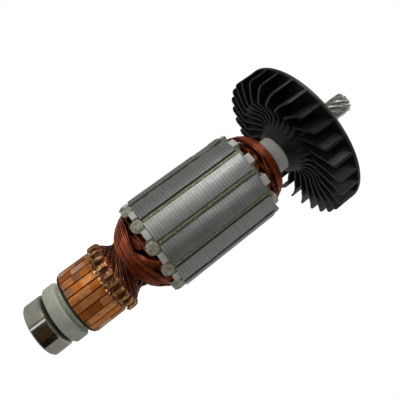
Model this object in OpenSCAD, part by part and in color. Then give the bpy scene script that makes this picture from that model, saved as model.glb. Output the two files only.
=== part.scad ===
// Armature of a universal motor for a mains hand tool: shaft with a helical pinion, moulded fan,
// 12-slot wound core, hook commutator with 24 bars, and the rear ball bearing.
// The axis is +Z. Heights are measured from the rear bearing's end face, angles from +X about +Z.

/* [Shaft] */
// Height of the pinion's end face, which is the overall length
overall_l = 161; // [160:0.5:168]
// Diameter under the commutator
comm_seat_d = 10; // [9:0.1:10.6]
// Diameter under the core and the fan
main_d = 13; // [12.8:0.1:13.4]
// Diameter of the drive end bearing's seat
journal_d = 12; // [11:0.1:12.2]
// Height at which the drive end bearing's seat starts
journal_z = 134.6; // [134.6:0.1:136]
// Length of the drive end bearing's seat
journal_l = 11; // [8:0.5:11]

/* [Pinion] */
// Number of teeth
pinion_teeth = 10; // [8:1:12]
// Diameter over the tooth tips
pinion_tip_d = 9.56; // [9:0.02:9.7]
// Depth of a tooth
pinion_depth = 1.45; // [1:0.05:1.6]
// Distance along the axis from one tooth to the next
pinion_axial_pitch = 4.5; // [4:0.02:8]
// Height at which the teeth run out of the shaft's collar
pinion_z = 148.2; // [147.8:0.1:149]
// Angle of one tooth tip at the end face
pinion_turn = 70; // [0:1:120]

/* [Rear bearing] */
// Outside diameter
bearing_d = 22; // [22:0.5:24]
// Bore
bearing_bore = 8; // [7.5:0.1:8.4]
// Width
bearing_w = 7; // [7:0.1:7.4]
// Number of balls
ball_count = 7; // [6:1:7]
// Ball diameter
ball_d = 3.969; // [3.8:0.001:3.969]

/* [Insulating ring] */
// Outside diameter
ring_d = 24; // [20:0.5:26]
// Height at which its rim starts
ring_z = 8.6; // [8.2:0.1:9.4]
// Height of its rim
ring_h = 4.7; // [3:0.1:5]

/* [Commutator] */
// Number of bars
bar_count = 24; // [24:12:24]
// Diameter of the brush track
track_d = 26.9; // [26.6:0.1:27]
// Height at which the brush track starts
track_z = 16.8; // [16.4:0.1:17.2]
// Length of the brush track
track_l = 12.8; // [10:0.1:13]
// Gap between two bars
bar_gap = 0.55; // [0.4:0.05:0.8]
// Width of a hook
hook_w = 1.5; // [1.2:0.05:1.55]
// Diameter of the wire in the hooks
lead_d = 0.8; // [0.6:0.05:0.8]
// Angle of one gap
gap_turn = 1.4; // [0:0.1:15]

/* [Core] */
// Outside diameter of the laminations
core_d = 41.3; // [41:0.1:42]
// Height at which the laminations start
core_z = 54.1; // [54.1:0.1:54.1]
// Length of the laminations
core_l = 45.6; // [40:0.1:45.6]
// Width of a tooth between two slots
tooth_w = 4; // [3.8:0.1:4.2]
// Width of a slot's mouth
mouth_w = 2.3; // [1.8:0.1:2.8]
// Angle of one slot
slot_turn = 1.8; // [0:0.1:30]
// Depth of the balance cut
cut_depth = 1.1; // [0:0.1:1.4]
// Radius of the cutter that made it
cutter_r = 16; // [12:1:20]
// Outside diameter of the insulating tube on the shaft
tube_d = 16.48; // [16:0.02:16.5]

/* [Winding] */
// Diameter of the rear end turns where they leave the slots
rear_turns_d = 36.4; // [35:0.1:36.8]
// Height of the rear end turns along the axis
rear_turns_h = 11; // [9:0.1:11.2]
// Diameter of the front end turns where they leave the slots
front_turns_d = 34.8; // [34:0.1:36.8]
// Height of the front end turns along the axis
front_turns_h = 9.6; // [8:0.1:10]

/* [Fan] */
// Outside diameter
fan_d = 70; // [66:0.5:72]
// Number of blades
blade_count = 29; // [20:1:31]
// Blade thickness along the circumference
blade_t = 1.15; // [0.9:0.05:1.3]
// Height of the blades' free edges
blade_z = 121.5; // [121:0.1:122]
// Height at which the back plate starts
plate_z = 130.9; // [130:0.1:131]
// Thickness of the back plate
plate_t = 1.7; // [1.2:0.1:2]
// How far a blade trails between its tip and its bend
blade_lag = 13.5; // [8:0.5:16]
// Angle of one blade's tip
fan_turn = -85.3; // [-90:0.1:-77]

/* [Hidden] */
$fn = 72;
slot_count = 12;
coil_count = 12;
bar_names = [for (i = [1:bar_count]) str("commutator_bar_", i)];
coil_names = [for (i = [1:coil_count]) str("coil_", i)];
piece_names = [
    "shaft", "insulating_tube", "lamination_stack", "end_insulator_rear", "end_insulator_front",
    "slot_liners", "slot_wedges", "commutator_hub", "lead_wires", "insulating_ring",
    "bearing_inner_race", "bearing_outer_race", "bearing_balls", "bearing_cage",
    "bearing_seal_rear", "bearing_seal_front", "fan"
];

// Shaft
main_r = main_d / 2;
journal_r = journal_d / 2;
comm_seat_r = comm_seat_d / 2;
shaft_z = 0.3;
tube_z = 37.6;
collar_r = 4.9;
collar_z = journal_z + journal_l;
chamfer = 0.5;

// Pinion
pinion_tip_r = pinion_tip_d / 2;
pinion_root_r = pinion_tip_r - pinion_depth;
pinion_pitch_r = pinion_tip_r - pinion_depth * 0.45;
pinion_lead = pinion_teeth * pinion_axial_pitch;
pinion_chamfer = 0.8;
pinion_base_z = collar_z + 0.6;

// Rear bearing
race_pitch_r = 7.5;
race_inner_r = 6.05;
race_outer_r = 8.9;
seal_seat_r = 9.35;
seal_inset = 0.35;
seal_t = 0.7;
race_gap = 0.046;
lip_gap = 0.07;

// Commutator
track_r = track_d / 2;
anchor_r = 8.8;
fin_r = 12.6;
hook_root_r = 12.6;
hook_r = 14.75;
track_end_z = track_z + track_l;
bar_end_z = 35.2;
gap_angle = bar_gap / track_r * 180 / PI;
bar_pitch = 360 / bar_count;

// Core
core_r = core_d / 2;
core_end_z = core_z + core_l;
slot_pitch = 360 / slot_count;
half_pitch = slot_pitch / 2;
slot_floor_c = 12;
slot_floor_r = slot_floor_c * sin(half_pitch) - tooth_w / 2;
roof_r = 19.4;
lip_r = 19.9;
tube_r = tube_d / 2;
liner_t = 0.22;
liner_top_r = 18.6;
wedge_low_r = 18.7;
wedge_w = 5.9;

// End insulators
arm_t = 1.5;
arm_w = 3.8;
rear_tab_h = 2.7;
front_tab_h = 3;
tab_r = 20.15;

// Winding
layer_count = 6;
turns_low_z = core_z - 4.1;
turns_high_z = core_end_z + 4.2;
turns_in_r = tube_r + 0.06;
first_foot_r = 11.5;
layer_gap = 0.006;
pair_gap = 0.12;
band_back = 4.1;
band_r = 20.3;
side_gap = 0.1;

// Fan
fan_r = fan_d / 2;
blade_pitch = 360 / blade_count;
bend_r = 24.2;
blade_root_r = 11.6;
boss_r = 9;
hub_z = 118.7;

// Shared shapes

// A body turned about the axis from radius and height pairs
module turned(outline) {
    rotate_extrude() polygon(outline);
}

// A wire with an eight-sided section through a list of points, swept as one closed skin
module wire(points, r) {
    sides = 8;
    last = len(points) - 1;
    sections = [
        for (i = [0:last])
            let (
                ahead = points[min(i + 1, last)] - points[max(i - 1, 0)],
                out = [points[i][0], points[i][1], 0],
                across = cross(ahead, out) / norm(cross(ahead, out)),
                up = cross(across, ahead) / norm(cross(across, ahead))
            )
                [for (k = [0:sides - 1]) points[i] + r * (cos(k * 45) * across + sin(k * 45) * up)]
    ];
    skin = [
        for (i = [0:last - 1], k = [0:sides - 1])
            let (a = i * sides + k, b = i * sides + (k + 1) % sides)
                each [[a, b, a + sides], [b, b + sides, a + sides]]
    ];
    start = [for (k = [sides - 1:-1:0]) k];
    end = [for (k = [0:sides - 1]) last * sides + k];
    polyhedron(points = [for (s = sections) each s], faces = concat(skin, [start, end]));
}

// A point from its radius, angle and height
function polar(r, angle, z) = [r * cos(angle), r * sin(angle), z];

// Shaft and pinion

// One tooth in section: radius, and angle as a part of the tooth pitch
pinion_tooth = [
    [pinion_root_r, -0.5], [pinion_root_r, -0.34], [pinion_pitch_r, -0.24], [pinion_tip_r, -0.12],
    [pinion_tip_r, 0.12], [pinion_pitch_r, 0.24], [pinion_root_r, 0.34]
];

// The whole toothed section at one height, turned along the helix and held inside a radius
function pinion_section(z, limit_r) = [
    for (tooth = [0:pinion_teeth - 1], p = pinion_tooth)
        polar(
            min(p[0], limit_r),
            (tooth + p[1]) * 360 / pinion_teeth + pinion_turn + (z - overall_l) / pinion_lead * 360,
            z
        )
];

// Helical teeth as one closed skin, with the tips chamfered at the end face
module pinion_teeth_solid() {
    steps = 22;
    run = overall_l - pinion_chamfer - pinion_base_z;
    heights = [for (i = [0:steps]) pinion_base_z + run * i / steps];
    sections = concat(
        [for (z = heights) pinion_section(z, pinion_tip_r)],
        [pinion_section(overall_l, pinion_tip_r - pinion_chamfer)]
    );
    n = len(sections[0]);
    last = len(sections) - 1;
    sides = [
        for (k = [0:last - 1], i = [0:n - 1])
            let (a = k * n + i, b = k * n + (i + 1) % n)
                each [[a, a + n, b], [b, a + n, b + n]]
    ];
    low = [for (i = [0:n - 1]) i];
    high = [for (i = [n - 1:-1:0]) last * n + i];
    polyhedron(points = [for (s = sections) each s], faces = concat(sides, [low, high]));
}

module shaft() {
    color("silver") union() {
        difference() {
            turned([
                [0, shaft_z], [bearing_bore / 2 - chamfer, shaft_z], [bearing_bore / 2, shaft_z + chamfer],
                [bearing_bore / 2, bearing_w], [comm_seat_r, bearing_w], [comm_seat_r, tube_z],
                [main_r, tube_z], [main_r, journal_z], [journal_r, journal_z],
                [journal_r, collar_z - chamfer], [journal_r - chamfer, collar_z], [collar_r, collar_z],
                [collar_r, pinion_z], [0, pinion_z]
            ]);
            translate([0, 0, shaft_z - 0.01]) cylinder(h = 2.2, r1 = 1.3, r2 = 0);
        }
        difference() {
            pinion_teeth_solid();
            translate([0, 0, overall_l - 1.8]) cylinder(h = 1.81, r1 = 0, r2 = 1.1);
        }
    }
}

// Rear bearing

module ball_track() {
    rotate_extrude() translate([race_pitch_r, 0]) circle(r = ball_d / 2 + race_gap);
}

module bearing_inner_race() {
    r = bearing_bore / 2;
    color("gainsboro") difference() {
        turned([
            [r + 0.3, 0], [race_inner_r - 0.2, 0], [race_inner_r, 0.2], [race_inner_r, bearing_w - 0.2],
            [race_inner_r - 0.2, bearing_w], [r + 0.3, bearing_w], [r, bearing_w - 0.3], [r, 0.3]
        ]);
        translate([0, 0, bearing_w / 2]) ball_track();
    }
}

module bearing_outer_race() {
    r = bearing_d / 2;
    seat = seal_inset + seal_t;
    color("gainsboro") difference() {
        turned([
            [seal_seat_r, 0], [r - chamfer, 0], [r, chamfer], [r, bearing_w - chamfer],
            [r - chamfer, bearing_w], [seal_seat_r, bearing_w], [seal_seat_r, bearing_w - seat],
            [race_outer_r, bearing_w - seat], [race_outer_r, seat], [seal_seat_r, seat]
        ]);
        translate([0, 0, bearing_w / 2]) ball_track();
    }
}

module bearing_balls() {
    color("silver") for (i = [0:ball_count - 1])
        rotate([0, 0, i * 360 / ball_count]) translate([race_pitch_r, 0, bearing_w / 2])
            sphere(d = ball_d);
}

module bearing_cage() {
    half_h = 2.3;
    color("darkgoldenrod") difference() {
        translate([0, 0, bearing_w / 2]) turned([
            [race_pitch_r - 0.55, -half_h], [race_pitch_r + 0.55, -half_h],
            [race_pitch_r + 0.55, half_h], [race_pitch_r - 0.55, half_h]
        ]);
        for (i = [0:ball_count - 1])
            rotate([0, 0, i * 360 / ball_count]) translate([race_pitch_r, 0, bearing_w / 2])
                sphere(r = ball_d / 2 + race_gap);
    }
}

// A seal: a flat washer with a raised bead near its rim, seated in the outer race
module bearing_seal() {
    turned([
        [race_inner_r + lip_gap, 0.1], [race_inner_r + 0.5, 0], [seal_seat_r - 1.2, 0],
        [seal_seat_r - 0.9, -0.15], [seal_seat_r - 0.4, -0.15], [seal_seat_r, 0.1],
        [seal_seat_r, seal_t], [race_inner_r + lip_gap, seal_t]
    ]);
}

module bearing_seal_rear() {
    color("dimgray") translate([0, 0, seal_inset]) bearing_seal();
}

module bearing_seal_front() {
    color("dimgray") translate([0, 0, bearing_w - seal_inset]) mirror([0, 0, 1]) bearing_seal();
}

// Insulating ring between the bearing and the commutator

module insulating_ring() {
    r = ring_d / 2;
    spigot_r = 5.9;
    sleeve_r = 8;
    rim_end = ring_z + ring_h;
    edge = 0.6;
    color("honeydew") turned([
        [comm_seat_r, bearing_w], [spigot_r, bearing_w], [spigot_r + 0.5, ring_z], [r - edge, ring_z],
        [r - edge * 0.3, ring_z + edge * 0.3], [r, ring_z + edge], [r, rim_end - edge],
        [r - edge * 0.3, rim_end - edge * 0.3], [r - edge, rim_end], [sleeve_r, rim_end],
        [sleeve_r, track_z - 1.1], [comm_seat_r, track_z - 1.1]
    ]);
}

// Commutator

// Moulded hub: it locks the bars and fills the gaps between them below the undercut
module commutator_hub() {
    collar_top_r = track_r - 0.45;
    color([0.12, 0.09, 0.08]) union() {
        turned([
            [comm_seat_r, track_z - 1.1], [collar_top_r - 0.5, track_z - 1.1],
            [collar_top_r, track_z - 0.6], [collar_top_r, track_z], [anchor_r, track_z],
            [anchor_r, bar_end_z], [10, bar_end_z], [10, tube_z - 0.4], [9.6, tube_z], [comm_seat_r, tube_z]
        ]);
        for (i = [0:bar_count - 1])
            rotate([0, 0, gap_turn - gap_angle / 2 + i * bar_pitch])
                rotate_extrude(angle = gap_angle)
                    translate([anchor_r - 0.2, track_z - 0.2])
                        square([fin_r - anchor_r + 0.2, bar_end_z - track_z + 0.2]);
    }
}

// The folded tang at a bar's winding end, in radius and height
hook_outline = [
    [hook_root_r - 0.6, 33.9], [13.3, 33.9], [13.7, 33.6], [13.9, 33.1], [13.9, 31.0], [14.1, 30.6],
    [14.5, 30.6], [hook_r, 31.0], [hook_r, 33.4], [14.5, 34.4], [13.8, 35.05],
    [hook_root_r - 0.6, bar_end_z]
];

// One copper bar: brush track, wire seat and hook
module commutator_bar(i) {
    middle = gap_turn + (i - 0.5) * bar_pitch;
    span = bar_pitch - gap_angle;
    color("chocolate") rotate([0, 0, middle]) union() {
        rotate([0, 0, -span / 2]) rotate_extrude(angle = span) polygon([
            [anchor_r, track_z], [track_r - 0.25, track_z], [track_r, track_z + 0.25],
            [track_r, track_end_z - 0.2], [hook_root_r, track_end_z + 0.6], [hook_root_r, bar_end_z],
            [anchor_r, bar_end_z]
        ]);
        rotate([90, 0, 0]) translate([0, 0, -hook_w / 2]) linear_extrude(hook_w)
            polygon(hook_outline);
    }
}

// One hairpin of wire through each hook, with both ends running down the neck to the winding
module lead_wires() {
    r = lead_d / 2;
    side = 5.2;
    color("saddlebrown") for (i = [1:bar_count]) {
        middle = gap_turn + (i - 0.5) * bar_pitch;
        wire([
            polar(10.45, middle - side, tube_z + 1.3), polar(10.5, middle - side, 37.6),
            polar(13.12, middle - side, 35.4), polar(13.2, middle - side, 32.9),
            polar(13.2, middle - 3.2, 32.2), polar(13.2, middle + 3.2, 32.2),
            polar(13.2, middle + side, 32.9), polar(13.12, middle + side, 35.4),
            polar(10.5, middle + side, 37.6), polar(10.45, middle + side, tube_z + 1.3)
        ], r);
    }
}

// Core and its insulation

// Half a slot's width at radius r, between parallel-sided teeth, less an inset
function slot_half_w(r, inset) = r * tan(half_pitch) - (tooth_w / 2 + inset) / cos(half_pitch);

// A slot's round-bottomed section up to a radius, inset from its walls
module slot_section(inset, top_r) {
    floor_r = slot_floor_r - inset;
    translate([slot_floor_c, 0]) circle(r = floor_r);
    polygon([
        [slot_floor_c - floor_r * sin(half_pitch), -floor_r * cos(half_pitch)],
        [top_r, -slot_half_w(top_r, inset)],
        [top_r, slot_half_w(top_r, inset)],
        [slot_floor_c - floor_r * sin(half_pitch), floor_r * cos(half_pitch)]
    ]);
}

module slot_mouth() {
    polygon([
        [roof_r - 0.2, -slot_half_w(roof_r - 0.2, 0)], [roof_r, -slot_half_w(roof_r, 0)],
        [lip_r, -mouth_w / 2], [core_r + 1, -mouth_w / 2], [core_r + 1, mouth_w / 2],
        [lip_r, mouth_w / 2], [roof_r, slot_half_w(roof_r, 0)], [roof_r - 0.2, slot_half_w(roof_r - 0.2, 0)]
    ]);
}

module lamination_stack() {
    cut_turn = slot_turn + half_pitch + 180;
    color("lightslategray") difference() {
        translate([0, 0, core_z]) linear_extrude(core_l) difference() {
            circle(r = core_r);
            circle(r = tube_r);
            for (i = [0:slot_count - 1]) rotate(slot_turn + i * slot_pitch) {
                slot_section(0, roof_r - 0.1);
                slot_mouth();
            }
        }
        rotate([0, 0, cut_turn]) translate([core_r - cut_depth + cutter_r, 0, core_end_z - 8.2])
            rotate([90, 0, 0]) cylinder(h = 9, r = cutter_r, center = true);
    }
}

// Moulded cap on a core face: a ring, an arm under the wires on each tooth, and a tab at its tip
module end_insulator(tab_h) {
    difference() {
        union() {
            linear_extrude(arm_t) {
                circle(r = slot_floor_c - slot_floor_r - 0.1);
                for (i = [0:slot_count - 1]) rotate(slot_turn + half_pitch + i * slot_pitch)
                    translate([0, -arm_w / 2]) square([roof_r - 0.6, arm_w]);
            }
            for (i = [0:slot_count - 1]) rotate([0, 0, slot_turn + half_pitch + i * slot_pitch])
                linear_extrude(tab_h) intersection() {
                    circle(r = tab_r);
                    polygon([
                        [liner_top_r, -arm_w / 2], [core_r, -arm_w / 2 - 0.32],
                        [core_r, arm_w / 2 + 0.32], [liner_top_r, arm_w / 2]
                    ]);
                }
        }
        translate([0, 0, -1]) cylinder(h = tab_h + 2, r = tube_r);
    }
}

module end_insulator_rear() {
    color("white") translate([0, 0, core_z]) mirror([0, 0, 1]) end_insulator(rear_tab_h);
}

module end_insulator_front() {
    color("white") translate([0, 0, core_end_z]) end_insulator(front_tab_h);
}

// Folded sheet that lines each slot and stands a little out of both ends
module slot_liners() {
    low = core_z - 2.9;
    color("tan") for (i = [0:slot_count - 1]) rotate([0, 0, slot_turn + i * slot_pitch])
        translate([0, 0, low]) linear_extrude(core_end_z + 2.8 - low) difference() {
            slot_section(0, liner_top_r);
            slot_section(liner_t, liner_top_r + 1);
        }
}

// Crowned strips that close the slots, with a rounded tongue at the commutator end
module slot_wedges() {
    low = core_z - 4.95;
    length = core_end_z + 1.3 - low;
    half_w = wedge_w / 2;
    color([0.62, 0.66, 0.58]) for (i = [0:slot_count - 1]) rotate([0, 0, slot_turn + i * slot_pitch])
        translate([0, 0, low]) {
            intersection() {
                linear_extrude(length) polygon([
                    [wedge_low_r, -half_w + 0.1], [19.25, -half_w], [19.6, -1.5], [19.68, 0],
                    [19.6, 1.5], [19.25, half_w], [wedge_low_r, half_w - 0.1]
                ]);
                rotate([90, 0, 90]) linear_extrude(core_r) {
                    translate([0, half_w]) circle(r = half_w);
                    translate([-half_w, half_w]) square([wedge_w, length]);
                }
            }
            wedge_swelling(half_w, core_z - 0.1 - low);
        }
}

// The tongue's swollen face: a shallow dome that ends short of the core
module wedge_swelling(half_w, reach) {
    rim_r = half_w - 0.2;
    intersection() {
        translate([0, 0, half_w]) rotate([0, 90, 0]) turned([
            [0, wedge_low_r + 0.1], [rim_r - 0.2, wedge_low_r + 0.1], [rim_r, 19.1], [rim_r - 0.1, 19.5],
            [rim_r - 0.5, 19.95], [rim_r - 1.3, 20.25], [0, 20.35]
        ]);
        translate([0, -half_w, 0]) cube([core_r, wedge_w, reach]);
    }
}

module insulating_tube() {
    color([0.74, 0.72, 0.68]) turned([
        [main_r, tube_z], [tube_r, tube_z], [tube_r, blade_z - 0.8],
        [tube_r - 0.3, blade_z - 0.5], [main_r, blade_z - 0.5]
    ]);
}

// Winding: 12 coils in 6 nested layers, two opposite coils to a layer, each over 5 slots

// Where a layer's boundary stands on the core side, between the first foot and the outermost one
function foot_r(layer, top_r) =
    layer == 0 ? first_foot_r : first_foot_r + (top_r - first_foot_r) * (layer + 1) / (layer_count + 1);

// How far a layer's boundary rises from the slots along the axis
function crown_h(layer, top_h) = 1 + (top_h - 1) * layer / layer_count;

// A layer's boundary as a quarter of a superellipse, from its foot to the tube
function dome(layer, top_r, top_h, power, shrink) =
    let (a = foot_r(layer, top_r) - turns_in_r, b = crown_h(layer, top_h))
        [for (i = [0:12])
            let (t = i * 7.5)
                [turns_in_r + a * (1 - shrink) * pow(cos(t), 2 / power),
                 b * (1 - shrink) * pow(sin(t), 2 / power)]];

// One layer's shell of end turns over half the core
module end_turns(layer, top_r, top_h, power) {
    outer = dome(layer + 1, top_r, top_h, power, layer_gap);
    inner = dome(layer, top_r, top_h, power, 0);
    back = [for (i = [len(inner) - 1:-1:0]) inner[i]];
    intersection() {
        turned(concat(outer, back));
        translate([pair_gap, -core_r, 0]) cube([core_r, 2 * core_r, top_h + 1]);
    }
}

// The outline of a coil's band of rear end turns, which clears the teeth in its middle
module band_outline() {
    linear_extrude(2 * rear_turns_h, center = true) translate([-band_back, 0]) circle(r = band_r);
}

// Radius between the two coil sides in a slot whose inner side is of this layer
function side_split(layer) =
    layer == layer_count - 1 ? (first_foot_r + liner_top_r) / 2
        : foot_r(layer + 1, (rear_turns_d + front_turns_d) / 4);

// The part of a slot's section between two radii, from one height to another
module slot_fill(low_r, high_r, low_z, high_z) {
    translate([0, 0, low_z]) linear_extrude(high_z - low_z) intersection() {
        slot_section(liner_t + 0.05, liner_top_r);
        translate([low_r, -core_r]) square([high_r - low_r, 2 * core_r]);
    }
}

// One coil side in its slot, between two radii
module coil_side(layer, low_r, high_r) {
    clear = 0.05;
    slot_fill(low_r, high_r, turns_low_z + clear, turns_high_z - clear);
    side_root(layer, low_r, high_r, rear_turns_d / 2, turns_low_z);
    side_root(layer, low_r, high_r, front_turns_d / 2, turns_high_z);
}

// The root that joins a coil side to its end turns, whose foot is at this height
module side_root(layer, low_r, high_r, top_r, z) {
    root = 0.3;
    inset = 0.15;
    low = max(low_r, foot_r(layer, top_r) + inset);
    high = min(high_r, foot_r(layer + 1, top_r) - inset);
    slot_fill(low, high, z - root, z + root);
}

// A coil in its own frame, with +X midway between its two slots
module coil(i) {
    layer = (i - 1) % layer_count;
    last = layer_count - 1;
    split_1 = side_split(layer);
    split_2 = side_split(layer == 0 ? last : layer - 1);
    color([0.50, 0.20, 0.08]) rotate([0, 0, slot_turn + (i + 2.5) * slot_pitch]) union() {
        translate([0, 0, turns_low_z]) mirror([0, 0, 1]) intersection() {
            end_turns(layer, rear_turns_d / 2, rear_turns_h, 1.45);
            band_outline();
        }
        translate([0, 0, turns_high_z]) end_turns(layer, front_turns_d / 2, front_turns_h, 1.9);
        rotate([0, 0, -2.5 * slot_pitch])
            coil_side(layer, layer == last ? split_1 + side_gap : 0, layer == last ? core_r : split_1);
        rotate([0, 0, 2.5 * slot_pitch])
            coil_side(layer, layer == 0 ? 0 : split_2 + side_gap, layer == 0 ? split_2 : core_r);
    }
}

// Fan

// How far behind its tip the blade's middle line lies at radius r
function blade_angle(r) =
    r > bend_r ? -blade_lag * (fan_r - r) / (fan_r - bend_r)
        : -blade_lag + 3.5 * (bend_r - r) / (bend_r - 14);

module blade_plan() {
    radii = [fan_r, fan_r - 2.7, fan_r - 5.4, fan_r - 8.1, bend_r, 21, 17.5, blade_root_r];
    half = blade_t / 2 * 180 / PI;
    front = [for (r = radii) polar(r, blade_angle(r) + half / r, 0)];
    back = [for (i = [len(radii) - 1:-1:0]) polar(radii[i], blade_angle(radii[i]) - half / radii[i], 0)];
    polygon([for (p = concat(front, back)) [p[0], p[1]]]);
}

// The space that the blades fill: their free edges run out along the hub's cone, dip and rise again
blade_envelope = [
    [blade_root_r, plate_z + 0.2], [blade_root_r, blade_z + 0.5], [12.6, blade_z + 0.9],
    [14, blade_z + 2.5], [16, blade_z + 3.2], [18, blade_z + 2.7], [20.5, blade_z + 1.3],
    [bend_r + 0.4, blade_z - 0.4],
    [fan_r - 1.2, blade_z], [fan_r - 0.35, blade_z + 0.3], [fan_r - 0.05, blade_z + 1.1],
    [fan_r - 0.05, plate_z + 0.2]
];

module fan() {
    plate_end = plate_z + plate_t;
    edge = 0.45;
    color([0.09, 0.09, 0.09]) difference() {
        union() {
            turned([
                [0, hub_z], [10.0, hub_z], [10.25, hub_z + 0.3], [11.1, hub_z + 2], [12, hub_z + 3.2],
                [13.3, hub_z + 5.3], [14.5, hub_z + 7.1], [16.3, hub_z + 9], [19, plate_z - 1.6],
                [22.5, plate_z - 0.5], [26, plate_z], [fan_r, plate_z],
                [fan_r, plate_end - edge], [fan_r - edge, plate_end], [boss_r, plate_end],
                [boss_r, journal_z], [0, journal_z]
            ]);
            intersection() {
                turned(blade_envelope);
                translate([0, 0, blade_z - 1]) linear_extrude(plate_z - blade_z + 2)
                    for (i = [0:blade_count - 1]) rotate(fan_turn + i * blade_pitch) blade_plan();
            }
        }
        translate([0, 0, hub_z - 1]) cylinder(h = journal_z - hub_z + 2, r = main_r);
        translate([0, 0, hub_z - 1]) cylinder(h = blade_z - hub_z + 1, r = tube_r + 0.06);
    }
}

shaft();
insulating_tube();
lamination_stack();
end_insulator_rear();
end_insulator_front();
slot_liners();
slot_wedges();
commutator_hub();
lead_wires();
insulating_ring();
bearing_inner_race();
bearing_outer_race();
bearing_balls();
bearing_cage();
bearing_seal_rear();
bearing_seal_front();
fan();
for (i = [1:bar_count]) commutator_bar(i);
for (i = [1:coil_count]) coil(i);
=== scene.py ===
import math

import bpy
import numpy as np
from mathutils import Matrix, Vector


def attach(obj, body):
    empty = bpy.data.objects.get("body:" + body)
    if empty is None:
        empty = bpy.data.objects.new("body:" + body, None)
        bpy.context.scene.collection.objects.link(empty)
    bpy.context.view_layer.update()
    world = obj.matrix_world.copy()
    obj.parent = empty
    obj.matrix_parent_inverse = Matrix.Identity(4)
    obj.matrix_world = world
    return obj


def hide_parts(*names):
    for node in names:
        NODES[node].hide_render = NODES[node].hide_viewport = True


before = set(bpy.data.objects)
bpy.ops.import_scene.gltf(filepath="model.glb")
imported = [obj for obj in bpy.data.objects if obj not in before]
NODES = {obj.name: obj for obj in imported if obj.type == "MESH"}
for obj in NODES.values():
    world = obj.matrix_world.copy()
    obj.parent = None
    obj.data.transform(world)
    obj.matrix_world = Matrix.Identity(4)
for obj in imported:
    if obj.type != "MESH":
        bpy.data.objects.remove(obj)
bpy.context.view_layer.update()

MM = 0.001
SEED = 20

# Places of the CAD part that pieces and finishes follow, in millimetres and degrees
SLOTS = 12
SLOT_PITCH = 360 / SLOTS
SLOT_TURN = 1.8
BARS = 24
BAR_PITCH = 360 / BARS
GAP_TURN = 1.4
TRACK_R = 13.45
TUBE_R = 8.24
CORE_LOW, CORE_HIGH = 54.1, 99.7
TURNS_LOW, TURNS_HIGH = 50.0, 103.9


# Camera

def make_camera():
    """The photograph's view: lens, place, direction and roll fitted to its circles and edges."""
    size = 400
    middle_x, middle_y = 204.56, 162.78
    data = bpy.data.cameras.new("camera")
    data.lens, data.sensor_width = 36.43, 36.0
    data.shift_x = (size / 2 - middle_x) / size
    data.shift_y = (middle_y - size / 2) / size
    data.clip_start, data.clip_end = 0.01, 20
    right = Vector((0.6000, -0.1202, 0.7909))
    up = Vector((-0.7953, -0.1966, 0.5735))
    axes = Matrix((right, up, right.cross(up))).transposed().to_4x4()
    place = Vector((0, -170.1, 53.01)) * MM
    camera = bpy.data.objects.new("camera", data)
    camera.matrix_world = Matrix.Translation(place) @ axes
    bpy.context.scene.collection.objects.link(camera)
    bpy.context.scene.camera = camera


# Stage and light, in metres

FLOOR_HALF = 1.6
FILL_LEVEL = 0.40
STUDIO_R = 0.8
LAMP_R, LAMP_SIZE, LAMP_POWER = 0.7, 0.45, 2.6
# Patches of the studio that are brighter than this are sampled as lamps are
SPARK_LEVEL = 10


def make_mesh(name, verts, faces, smooth=False, tone=None):
    """A new object, whose vertices may carry a tone for their material."""
    mesh = bpy.data.meshes.new(name)
    mesh.from_pydata([tuple(v) for v in verts], [], [tuple(f) for f in faces])
    mesh.update()
    if smooth:
        mesh.polygons.foreach_set("use_smooth", [True] * len(mesh.polygons))
    if tone is not None:
        carried = mesh.attributes.new("tone", "FLOAT", "POINT")
        carried.data.foreach_set("value", np.asarray(tone, np.float32))
    obj = bpy.data.objects.new(name, mesh)
    bpy.context.scene.collection.objects.link(obj)
    return obj


def seen_directly(tree):
    """1 for rays from the camera, off gloss or through glass, and 0 for light."""
    path = tree.nodes.new("ShaderNodeLightPath")
    last = path.outputs["Is Camera Ray"]
    for name in ("Is Glossy Ray", "Is Transmission Ray"):
        most = tree.nodes.new("ShaderNodeMath")
        most.operation = "MAXIMUM"
        tree.links.new(last, most.inputs[0])
        tree.links.new(path.outputs[name], most.inputs[1])
        last = most.outputs[0]
    return last


def backdrop_material():
    """White to the camera, with the object's shadow kept faintly."""
    white, glow_level = 0.8, 0.8
    mat = bpy.data.materials.new("backdrop")
    mat.use_nodes = True
    mat.cycles.emission_sampling = "NONE"
    tree = mat.node_tree
    tree.nodes.clear()
    out = tree.nodes.new("ShaderNodeOutputMaterial")
    paper = tree.nodes.new("ShaderNodeBsdfDiffuse")
    paper.inputs["Color"].default_value = (white, white, white, 1)
    glow = tree.nodes.new("ShaderNodeEmission")
    lift = tree.nodes.new("ShaderNodeMath")
    lift.operation = "MULTIPLY"
    lift.inputs[1].default_value = glow_level
    add = tree.nodes.new("ShaderNodeAddShader")
    tree.links.new(seen_directly(tree), lift.inputs[0])
    tree.links.new(lift.outputs[0], glow.inputs["Strength"])
    tree.links.new(paper.outputs[0], add.inputs[0])
    tree.links.new(glow.outputs[0], add.inputs[1])
    tree.links.new(add.outputs[0], out.inputs["Surface"])
    return mat


def make_world():
    """White behind everything, with a plain grey fill as its light."""
    world = bpy.data.worlds.new("world")
    bpy.context.scene.world = world
    world.use_nodes = True
    tree = world.node_tree
    background = tree.nodes["Background"]
    background.inputs["Color"].default_value = (1, 1, 1, 1)
    level = tree.nodes.new("ShaderNodeMapRange")
    level.inputs["To Min"].default_value = FILL_LEVEL
    level.inputs["To Max"].default_value = 1.0
    tree.links.new(seen_directly(tree), level.inputs["Value"])
    tree.links.new(level.outputs[0], background.inputs["Strength"])


def studio_point(turn, lift, r):
    """A point at a turn from the camera's side, an angle above the ground and a distance."""
    a, e = math.radians(turn), math.radians(lift)
    return Vector((math.sin(a) * math.cos(e), -math.cos(a) * math.cos(e), math.sin(e))) * r


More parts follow.
